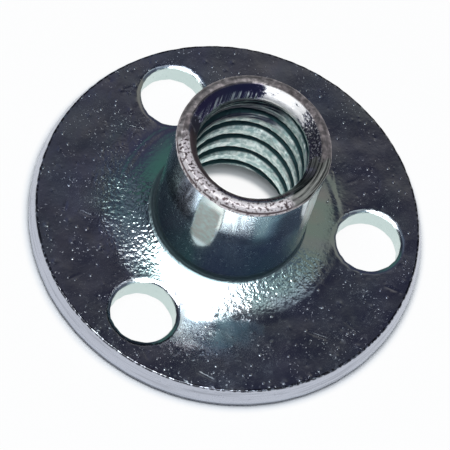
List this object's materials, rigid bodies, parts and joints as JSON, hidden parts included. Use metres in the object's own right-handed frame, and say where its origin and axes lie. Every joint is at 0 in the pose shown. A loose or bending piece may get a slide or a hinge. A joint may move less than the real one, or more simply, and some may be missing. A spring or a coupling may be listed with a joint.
{
  "type": "tee nut",
  "caption": "Round-base tee nut: a flat flange with brad holes and a short threaded barrel, drawn in one piece from zinc-plated sheet steel.",
  "frame": {"origin": "centre of the flange's flat underside", "axes": "+Z along the bore, from the flange towards the barrel's lip; +X through the centre of the first brad hole"},
  "size_m": [0.0188, 0.0188, 0.0086],
  "materials": {
    "zinc_plate": "bright zinc plating with a faint blue tint, over drawn sheet steel"
  },
  "bodies": {
    "root": {"tee_nut": "zinc_plate"}
  },
  "joints": []
}
